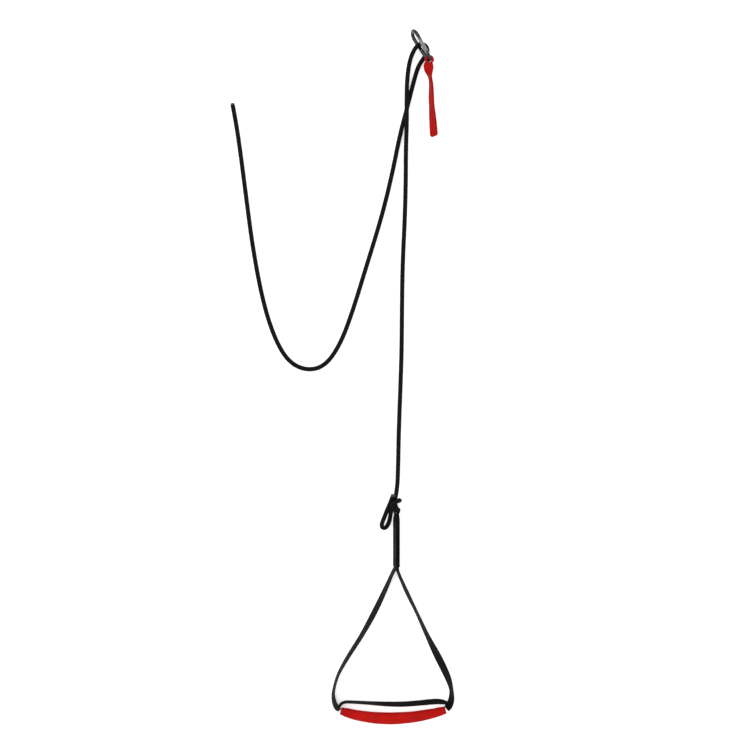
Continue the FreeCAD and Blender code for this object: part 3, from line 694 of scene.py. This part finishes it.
def make_tail_bead(path):
    """Melted end of the rope's short tail: a collar over the braid, closed by a rounded tip."""
    outward = (path[0] - path[2]).normalized()
    side = outward.cross(UP).normalized()
    other = outward.cross(side)
    rings = []
    uvs = []
    for i in range(BEAD_RINGS + 1):
        share = i / BEAD_RINGS
        along = BEAD_LENGTH * share
        centre = path[0] + outward * (along - BEAD_LENGTH * BEAD_OVERLAP)
        swell = BEAD_RADIUS * math.sqrt(max(0.001, 1 - abs(2 * share - 1) ** 5))
        ring = []
        for k in range(BRAID_SIDES):
            angle = math.tau * k / BRAID_SIDES
            spoke = side * math.cos(angle) + other * math.sin(angle)
            lump = noise.noise(spoke * 1.8 + Vector((share * 3, 0, 0))) * BEAD_LUMPS
            ring.append(centre + spoke * (swell + lump * swell / BEAD_RADIUS))
        rings.append(ring)
        uvs.append(uvs_round(BEAD_RADIUS * math.tau, BRAID_SIDES, along))
    bead = grid_mesh("rope_tail_bead", rings, uvs, "melted_rope", "hook_and_rope")
    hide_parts("rope_tail_seal")


def make_rope():
    """The braided rope in one piece, with the melted end of its tail."""
    path = spline_points(ROPE_ROUTE)
    rings = []
    uvs = []
    along = 0.0
    core = ROPE_DIAMETER / 2 - BRAID_RELIEF * BRAID_SUNK
    for point, heading, side in carried_frames(even_steps(path, BRAID_STEP)):
        other = heading.cross(side)
        ring = []
        for k in range(BRAID_SIDES):
            angle = math.tau * k / BRAID_SIDES
            radius = core + BRAID_RELIEF * braid_height(angle, along)
            ring.append(point + (side * math.cos(angle) + other * math.sin(angle)) * radius)
        rings.append(ring)
        uvs.append(uvs_round(ROPE_DIAMETER * math.pi, BRAID_SIDES, along))
        along += BRAID_STEP
    rope = grid_mesh("rope", rings, uvs, "rope", "hook_and_rope")
    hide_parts("rope_knot", "rope_load_run", "rope_hook_turn", "rope_free_run")
    make_tail_bead(path)
    [tuple(p) for p in even_steps(path, PATH_STEP)]


# --- handle -----------------------------------------------------------------------------------
def neck_axes():
    """Directions through the neck's layers, along the neck and across its width."""
    pitch = math.radians(NECK_PITCH)
    roll = math.radians(NECK_ROLL)
    along = Vector((0, math.cos(pitch), math.sin(pitch)))
    side = Vector((1, 0, 0))
    across = side * math.cos(roll) + side.cross(along) * math.sin(roll)
    return along.cross(across), along, across


def on_neck(x, y, z=0.0):
    """The point x through the neck's layers, y along it and z across its width."""
    through, along, across = neck_axes()
    return NECK_FOOT + through * x + along * y + across * z


def leg_axes(side, stations):
    """The leg's layer in the neck, then its free part down to the grip."""
    inset = side * (WEBBING_THICKNESS + LAYER_GAP) / 2
    in_neck = []
    for k in range(NECK_STEPS + 1):
        centre = on_neck(inset, (NECK_LENGTH - LEG_TOP_INSET) * (1 - k / NECK_STEPS))
        in_neck.append((*centre, NECK_ROLL, WEBBING_WIDTH))
    return turning_axes(finely(in_neck + laid(stations), STRAP_STEP))


def make_legs():
    """The triangle's two sides, and the hand strap between their lower ends."""
    for name, side, stations in (("left_leg", -1, LEFT_LEG), ("right_leg", 1, RIGHT_LEG)):
        leg = webbing(f"{name}_webbing", leg_axes(side, stations), "handle", "black_webbing")
        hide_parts(name)
    axes = turning_axes(finely(laid(HAND_STRAP), STRAP_STEP))
    strap = webbing("hand_strap_webbing", axes, "handle", "black_webbing")
    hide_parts("hand_strap")


def eye_side(half_stack, touch):
    """One side of the eye: straight in the neck, then curving out to where it meets the turn."""
    side = [(half_stack, EYE_FLARE_START * k / EYE_SIDE_STEPS) for k in range(EYE_SIDE_STEPS)]
    run = touch[1] - EYE_FLARE_START
    for k in range(EYE_FLARE_STEPS):
        t = k / EYE_FLARE_STEPS
        reached = (3 * t**2 - 2 * t**3) * (touch[0] - half_stack)
        leaned = (t**3 - t**2) * run * math.tan(EYE_LEAN)
        side.append((half_stack + (reached + leaned), EYE_FLARE_START + run * t))
    return side


def eye_line():
    """Centreline of the eye's webbing in the neck's frame, up one side and down the other."""
    half_stack = 1.5 * (WEBBING_THICKNESS + LAYER_GAP)
    bow = ROPE_DIAMETER / 2 + EYE_ROPE_GAP + WEBBING_THICKNESS / 2
    touch = (bow * math.cos(EYE_LEAN), EYE_REACH - bow * math.sin(EYE_LEAN))
    side = eye_side(half_stack, touch)
    turn = []
    for k in range(EYE_TURN_STEPS + 1):
        angle = -EYE_LEAN + (math.pi + 2 * EYE_LEAN) * k / EYE_TURN_STEPS
        turn.append((bow * math.cos(angle), EYE_REACH + bow * math.sin(angle)))
    return side + turn + [(-x, y) for x, y in side[::-1]]


def make_eye():
    """The webbing folded round the rope, narrower where it is gathered at the tip."""
    through, along, across = neck_axes()
    line = eye_line()
    axes = []
    for i, (x, y) in enumerate(line):
        ahead = line[min(i + 1, len(line) - 1)]
        behind = line[max(i - 1, 0)]
        heading = (through * (ahead[0] - behind[0]) + along * (ahead[1] - behind[1])).normalized()
        beyond = (y - EYE_FLARE_START - EYE_GATHER_START) / EYE_GATHER_RUN
        gathered = smooth_step(min(1.0, max(0.0, beyond)))
        width = WEBBING_WIDTH + (EYE_TIP_WIDTH - WEBBING_WIDTH) * gathered
        axes.append((on_neck(x, y), across, across.cross(heading), width))
    eye = webbing("eye_webbing_fold", axes, "handle", "black_webbing")
    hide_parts("eye_webbing")


# --- stitches ---------------------------------------------------------------------------------
def thread_points(start, end, normal, radius):
    """Rings of points along one rounded thread."""
    run = end - start
    side = run.cross(normal).normalized()
    points = []
    for share in THREAD_SHARES:
        swell = math.sin(math.pi * (0.12 + 0.76 * share))
        centre = start + run * share + normal * (radius * (swell - 0.75))
        for k in range(THREAD_SIDES):
            angle = math.tau * k / THREAD_SIDES
            offset = side * math.cos(angle) + normal * math.sin(angle)
            points.append(centre + offset * radius * (0.55 + 0.45 * swell))
    return points


def thread_faces(base):
    """Faces round one thread and over its two ends, from the number of its first point."""
    faces = []
    last = len(THREAD_SHARES) - 1
    for ring in range(last):
        low = base + ring * THREAD_SIDES
        for k in range(THREAD_SIDES):
            m = (k + 1) % THREAD_SIDES
            faces.append((low + k, low + m, low + THREAD_SIDES + m, low + THREAD_SIDES + k))
    faces.append(tuple(base + k for k in range(THREAD_SIDES))[::-1])
    faces.append(tuple(base + last * THREAD_SIDES + k for k in range(THREAD_SIDES)))
    return faces


def thread_mesh(name, stitches, radius, material, body):
    """Short rounded threads, each from one point to another, sunk at both ends."""
    points = []
    faces = []
    for start, end, normal in stitches:
        faces += thread_faces(len(points))
        points += thread_points(start, end, normal, radius)
    corner_uvs = [points[number].xy for face in faces for number in face]
    return mesh_piece(name, points, faces, corner_uvs, material, body)


def stitched_line(place, start, end, length, gap):
    """Stitches along a straight line on a surface; place gives a point and its normal."""
    total = math.dist(start, end)
    count = max(1, int(total / (length + gap)))
    stitches = []
    for k in range(count):
        first = k / count
        last = first + (length / (length + gap)) / count
        a, normal = place(*(s + (e - s) * first for s, e in zip(start, end)))
        b, _ = place(*(s + (e - s) * last for s, e in zip(start, end)))
        stitches.append((a, b, normal))
    return stitches


def boxed_cross(place, half, low, high):
    """The usual sewn box with a cross in it."""
    lines = [
        ((-half, low), (half, low)),
        ((half, low), (half, high)),
        ((half, high), (-half, high)),
        ((-half, high), (-half, low)),
        ((-half, low), (half, high)),
        ((half, low), (-half, high)),
    ]
    stitches = []
    for start, end in lines:
        stitches += stitched_line(place, start, end, BOX_STITCH, BOX_STITCH_GAP)
    return stitches


def stitched_rows(place, half, rows):
    """Rows of stitches straight across a strap, spread evenly over a patch."""
    stitches = []
    for row in range(rows):
        share = row / (rows - 1)
        stitches += stitched_line(place, (-half, share), (half, share), ROW_STITCH, ROW_STITCH_GAP)
    return stitches


def strap_face(axes, face, lift):
    """Gives the place function for one face of a strap, lift away from its middle."""

    def place(across, share):
        """Point and normal, from the distance across the strap and a share of its length."""
        last = len(axes) - 1
        centre, wide, thick = axes[min(last, max(0, round(share * last)))][:3]
        normal = thick * face
        return centre + wide * across + normal * lift, normal

    return place


def neck_face(face):
    """Gives the place function for one face of the neck's four layers."""
    through = neck_axes()[0]
    half_stack = 2 * WEBBING_THICKNESS + 1.5 * LAYER_GAP

    def place(across, along):
        return on_neck(face * half_stack, along, across), through * face

    return place


def make_neck_stitches():
    """A boxed cross on both faces of the neck, near its top and at its foot."""
    half = WEBBING_WIDTH / 2 - STITCH_INSET
    for name, low, high in NECK_PATCHES:
        stitches = []
        for face in (1, -1):
            stitches += boxed_cross(neck_face(face), half, low, high)
        threads = thread_mesh(f"{name}_threads", stitches, THREAD_RADIUS, "black_thread", "handle")
        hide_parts(name)


def make_corner_tacks():
    """Rows of stitches on both faces of each leg's lower end."""
    half = WEBBING_WIDTH / 2 - STITCH_INSET
    for name, side, stations in (("left", -1, LEFT_LEG), ("right", 1, RIGHT_LEG)):
        axes = leg_axes(side, stations)[CORNER_SECTIONS]
        stitches = []
        for face in (1, -1):
            stitches += stitched_rows(strap_face(axes, face, WEBBING_THICKNESS / 2), half, CORNER_ROWS)
        threads = thread_mesh(
            f"{name}_corner_threads", stitches, THREAD_RADIUS, "black_thread", "handle"
        )
        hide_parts(f"{name}_corner_tack")


# --- anchor strap -----------------------------------------------------------------------------
def fold_turn(foot):
    """The fold's turn round the wire: centres, width and outward directions, and widths."""
    forward = Vector((WIRE_APEX.x - foot.x, WIRE_APEX.y - foot.y, 0)).normalized()
    across = forward.cross(UP)
    turn = []
    for k in range(KNUCKLE_STEPS + 1):
        share = 2 * k / KNUCKLE_STEPS - 1
        angle = LOOP_SWEEP * share
        ahead = forward * (LOOP_REACH * math.cos(angle))
        spot = WIRE_APEX + ahead + across * (LOOP_HALF_WIDTH * math.sin(angle))
        outward = (spot - WIRE_APEX).normalized()
        turn.append((spot, UP, outward, LOOP_WIDTH + LOOP_WIDENING * share**2))
    return turn


def fold_limb(end, before, foot_axes, face):
    """From one end of the turn back to the strap, on the side that face gives."""
    foot, wide, thick, width = foot_axes
    spot_there, _, outward_there, width_there = end
    heading = (spot_there - before[0]).normalized()
    target = foot + thick * (face * WEBBING_THICKNESS * FOOT_SPREAD)
    reach = (target - spot_there).length
    count = KNUCKLE_STEPS // 2
    limb = []
    for k in range(1, count + 1):
        t = k / count
        ease = smooth_step(t)
        bulge = heading * (reach * LIMB_BULGE * t * (1 - t) ** 2)
        spot = spot_there.lerp(target, ease) + bulge
        side = UP.lerp(wide, ease).normalized()
        outward = outward_there.lerp(thick * face, ease).normalized()
        limb.append((spot, side, outward, width_there + (width * FOOT_WIDTH_SHARE - width_there) * ease))
    return limb


def fold_line(centre_axes):
    """The whole fold, from one layer of the strap round the wire to the other."""
    foot_axes = centre_axes[KNUCKLE_FOOT]
    turn = fold_turn(foot_axes[0])
    first = fold_limb(turn[0], turn[2], foot_axes, -1)
    last = fold_limb(turn[-1], turn[-3], foot_axes, 1)
    return first[::-1] + turn + last


def fold_ring(spot, side, outward, width, along):
    """One rounded ring of the fold, pleated where its width is gathered."""
    gathered = 1 - (width - LOOP_WIDTH) / GATHER_SPAN
    half_thick = WEBBING_THICKNESS / 2 + GATHER_SWELL * gathered
    ring = []
    for k in range(FACE_POINTS):
        angle = math.tau * k / FACE_POINTS
        across = math.copysign(abs(math.sin(angle)) ** 0.7, math.sin(angle)) * width / 2
        rise = math.copysign(abs(math.cos(angle)) ** 0.5, math.cos(angle)) * half_thick
        pleat = PLEAT_DEPTH * gathered * math.sin(across * PLEAT_RATE)
        weave = WEAVE_RELIEF * weave_height(across + WEAVE_SHIFT, along)
        ring.append(spot + side * across + outward * (rise + pleat + weave * math.cos(angle)))
    return ring


def make_anchor_fold(centre_axes):
    """The strap's fold, gathered where it passes through the hook's small bow."""
    rings = []
    uvs = []
    line = fold_line(centre_axes)
    for section, along in zip(line, distances([section[0] for section in line])):
        rings.append(fold_ring(*section, along))
        uvs.append(uvs_round(WEBBING_WIDTH, FACE_POINTS, along))
    grid_mesh("anchor_strap_fold", rings, uvs, "red_webbing", "anchor_strap")


def make_anchor_tack(centre_axes, lift):
    """Rows of red thread on both faces, where the two layers are sewn together."""
    count = len(centre_axes)
    patch = centre_axes[count * TACK_FIRST_PART // TACK_PARTS : count * TACK_LAST_PART // TACK_PARTS]
    half = WEBBING_WIDTH / 2 - TACK_INSET
    stitches = []
    for face in (1, -1):
        stitches += stitched_rows(strap_face(patch, face, lift), half, TACK_ROWS)
    threads = thread_mesh("anchor_strap_threads", stitches, THREAD_RADIUS, "red_thread", "anchor_strap")
    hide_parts("anchor_strap_tack")


def make_anchor_strap():
    """The red strap's two layers, with their fold and their sewn patch."""
    centre_axes = turning_axes(finely(ANCHOR_STRAP, STRAP_STEP))
    half_gap = (WEBBING_THICKNESS + LAYER_GAP) / 2
    for number, side in ((1, 1), (2, -1)):
        axes = [(c + thick * half_gap * side, wide, thick, width) for c, wide, thick, width in centre_axes]
        webbing(f"anchor_strap_layer_{number}", axes, "anchor_strap", "red_webbing")
    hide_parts("anchor_strap")
    make_anchor_fold(centre_axes)
    make_anchor_tack(centre_axes, half_gap + WEBBING_THICKNESS / 2)


# --- grip -------------------------------------------------------------------------------------
def grip_line(count):
    """Points along two arcs that meet at GRIP_LOW, the middle of the grip's sag in the picture."""
    points = []
    for end, order in ((GRIP_LEFT, -1), (GRIP_RIGHT, 1)):
        span = end.x - GRIP_LOW.x
        rise = end.y - GRIP_LOW.y
        radius = (span**2 + rise**2) / (2 * rise)
        half = []
        for step in range(count + 1):
            turn = math.asin(span / radius) * step / count
            half.append(GRIP_LOW + Vector((radius * math.sin(turn), radius * (1 - math.cos(turn)), 0)))
        points = points + half[1:] if order > 0 else half[::-1]
    return points


def grip_sizes(i, count):
    """Half width and half height of one of the sleeve's rings."""
    fullness = math.sin(math.pi * i / count) ** 0.8 if 0 < i < count else 0.0
    half_width = (GRIP_END_WIDTH + (GRIP_WIDTH - GRIP_END_WIDTH) * fullness) / 2
    half_height = (GRIP_END_HEIGHT + (GRIP_HEIGHT - GRIP_END_HEIGHT) * fullness) / 2
    return half_width, half_height


def crease_depth(around, along, from_end):
    """How far creases and the soft filling draw the sleeve in; the creases deepen near its ends."""
    soft = noise.noise(around * 1.6 + Vector((along * 55, 0, 0)))
    crease = abs(noise.noise(around * 2.2 + Vector((along * 230, 7, 0))))
    deepest = CREASE_DEPTH + END_CREASE_DEPTH * math.exp(-from_end / CREASE_REACH)
    return crease * deepest - soft * SOFT_RELIEF


def grip_ring(line, i, along):
    """One oval ring of the sleeve, with the creases that its filling and seams leave."""
    count = len(line) - 1
    heading = (line[min(i + 1, count)] - line[max(i - 1, 0)]).normalized()
    side = UP.cross(heading)
    half_width, half_height = grip_sizes(i, count)
    from_end = min(i, count - i) / count
    hem = math.exp(-(((from_end - HEM_SHARE) / HEM_HALF_WIDTH) ** 2))
    gathered = math.exp(-from_end / GATHER_REACH)
    ring = []
    for k in range(SLEEVE_SIDES):
        angle = math.tau * k / SLEEVE_SIDES
        outward = side * math.cos(angle) * half_width + UP * math.sin(angle) * half_height
        around = Vector((0, math.cos(angle), math.sin(angle)))
        seam = math.exp(-(((angle - SEAM_ANGLE) / SEAM_HALF_WIDTH) ** 2))
        inward = SLEEVE_INSET + HEM_DEPTH * hem + SEAM_DEPTH * seam + GATHER_DEPTH * gathered
        inward += crease_depth(around, along, from_end)
        ring.append(line[i] + outward - outward.normalized() * inward)
    return ring


def sleeve_point(line, share, angle):
    """A point on the sleeve and the direction out of it."""
    i = min(len(line) - 1, max(0, round(share * (len(line) - 1))))
    ring = grip_ring(line, i, share * GRIP_LENGTH)
    k = round(angle / math.tau * SLEEVE_SIDES) % SLEEVE_SIDES
    return ring[k], (ring[k] - line[i]).normalized()


def sleeve_stitch(line, start, end):
    """A stitch between two places on the sleeve, each a share of its length and an angle."""
    a, normal = sleeve_point(line, *start)
    b, _ = sleeve_point(line, *end)
    return a, b, normal


def make_grip_threads(line):
    """The long seam's stitches and a row round each end."""
    stitches = []
    for k in range(SEAM_BARE_STITCHES, SEAM_STITCHES - SEAM_BARE_STITCHES):
        for offset in (-SEAM_ROW_OFFSET, SEAM_ROW_OFFSET):
            start = (k / SEAM_STITCHES, SEAM_ANGLE + offset)
            end = ((k + STITCH_SHARE) / SEAM_STITCHES, SEAM_ANGLE + offset)
            stitches.append(sleeve_stitch(line, start, end))
    for share in (HEM_SHARE, 1 - HEM_SHARE):
        for k in range(HEM_STITCHES):
            start = (share, math.tau * k / HEM_STITCHES)
            end = (share, math.tau * (k + STITCH_SHARE) / HEM_STITCHES)
            stitches.append(sleeve_stitch(line, start, end))
    thread_mesh("grip_threads", stitches, GRIP_THREAD_RADIUS, "red_thread", "grip")


def make_grip():
    """The red sleeve over the foam, open at its ends, and its threads."""
    line = grip_line(SLEEVE_RINGS)
    rings = []
    uvs = []
    for i, along in enumerate(distances(line)):
        rings.append(grip_ring(line, i, along))
        uvs.append(uvs_round(GRIP_GIRTH, SLEEVE_SIDES, along))
    cover = grid_mesh("grip_sleeve", rings, uvs, "red_sleeve", "grip", capped=False)
    shell = cover.modifiers.new("wall", "SOLIDIFY")
    shell.thickness = SLEEVE_WALL
    shell.offset = -1
    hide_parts("grip_cover")
    make_grip_threads(line)


# --- metal, floor and light -------------------------------------------------------------------
def finish_cad_nodes():
    """Node materials for the CAD nodes that stay in view."""
    for part in frame["record"]["subparts"]:
        piece = bpy.data.objects.get(part["node"])
        # The gate takes the lighter copy of the steel, its colour a painted highlight.
        material = MATERIALS["gate_steel_painted_highlight" if part["node"] == "hook_gate" else part["material_slot"]]
        piece.data.materials.clear()
        piece.data.materials.append(material)
        piece.data.polygons.foreach_set("use_smooth", [True] * len(piece.data.polygons))


def area_light(name, place, size, power):
    """Square light that faces the middle of the object."""
    data = bpy.data.lights.new(name, "AREA")
    data.shape = "SQUARE"
    data.size = size
    data.energy = power
    light = bpy.data.objects.new(name, data)
    light.location = place
    light.rotation_euler = (-Vector(place)).to_track_quat("-Z", "Y").to_euler()
    bpy.context.scene.collection.objects.link(light)


def make_lights():
    """Even white light from all round, with a key and a fill."""
    world = bpy.data.worlds.new("studio")
    world.use_nodes = True
    world.node_tree.nodes["Background"].inputs["Color"].default_value = (1, 1, 1, 1)
    world.node_tree.nodes["Background"].inputs["Strength"].default_value = WORLD_STRENGTH
    bpy.context.scene.world = world
    for light in AREA_LIGHTS:
        area_light(*light)
    bpy.context.scene.view_settings.view_transform = "Standard"


def make_floor():
    """Plain pale floor at height 0."""
    mesh = bpy.data.meshes.new("floor")
    corners = [(x * FLOOR_REACH, y * FLOOR_REACH, 0) for x, y in ((-1, -1), (1, -1), (1, 1), (-1, 1))]
    mesh.from_pydata(corners, [], [(0, 1, 2, 3)])
    n = Nodes("floor")
    n.set(Roughness=0.9, Specular_IOR_Level=0.1, Emission_Strength=FLOOR_GLOW)
    n.set(Base_Color=(FLOOR_GREY, FLOOR_GREY, FLOOR_GREY, 1), Emission_Color=(1, 1, 1, 1))
    mesh.materials.append(n.material)
    floor = bpy.data.objects.new("floor", mesh)
    bpy.context.scene.collection.objects.link(floor)


make_camera()
make_rope()
make_legs()
make_eye()
make_neck_stitches()
make_corner_tacks()
make_anchor_strap()
make_grip()
finish_cad_nodes()
make_lights()
make_floor()
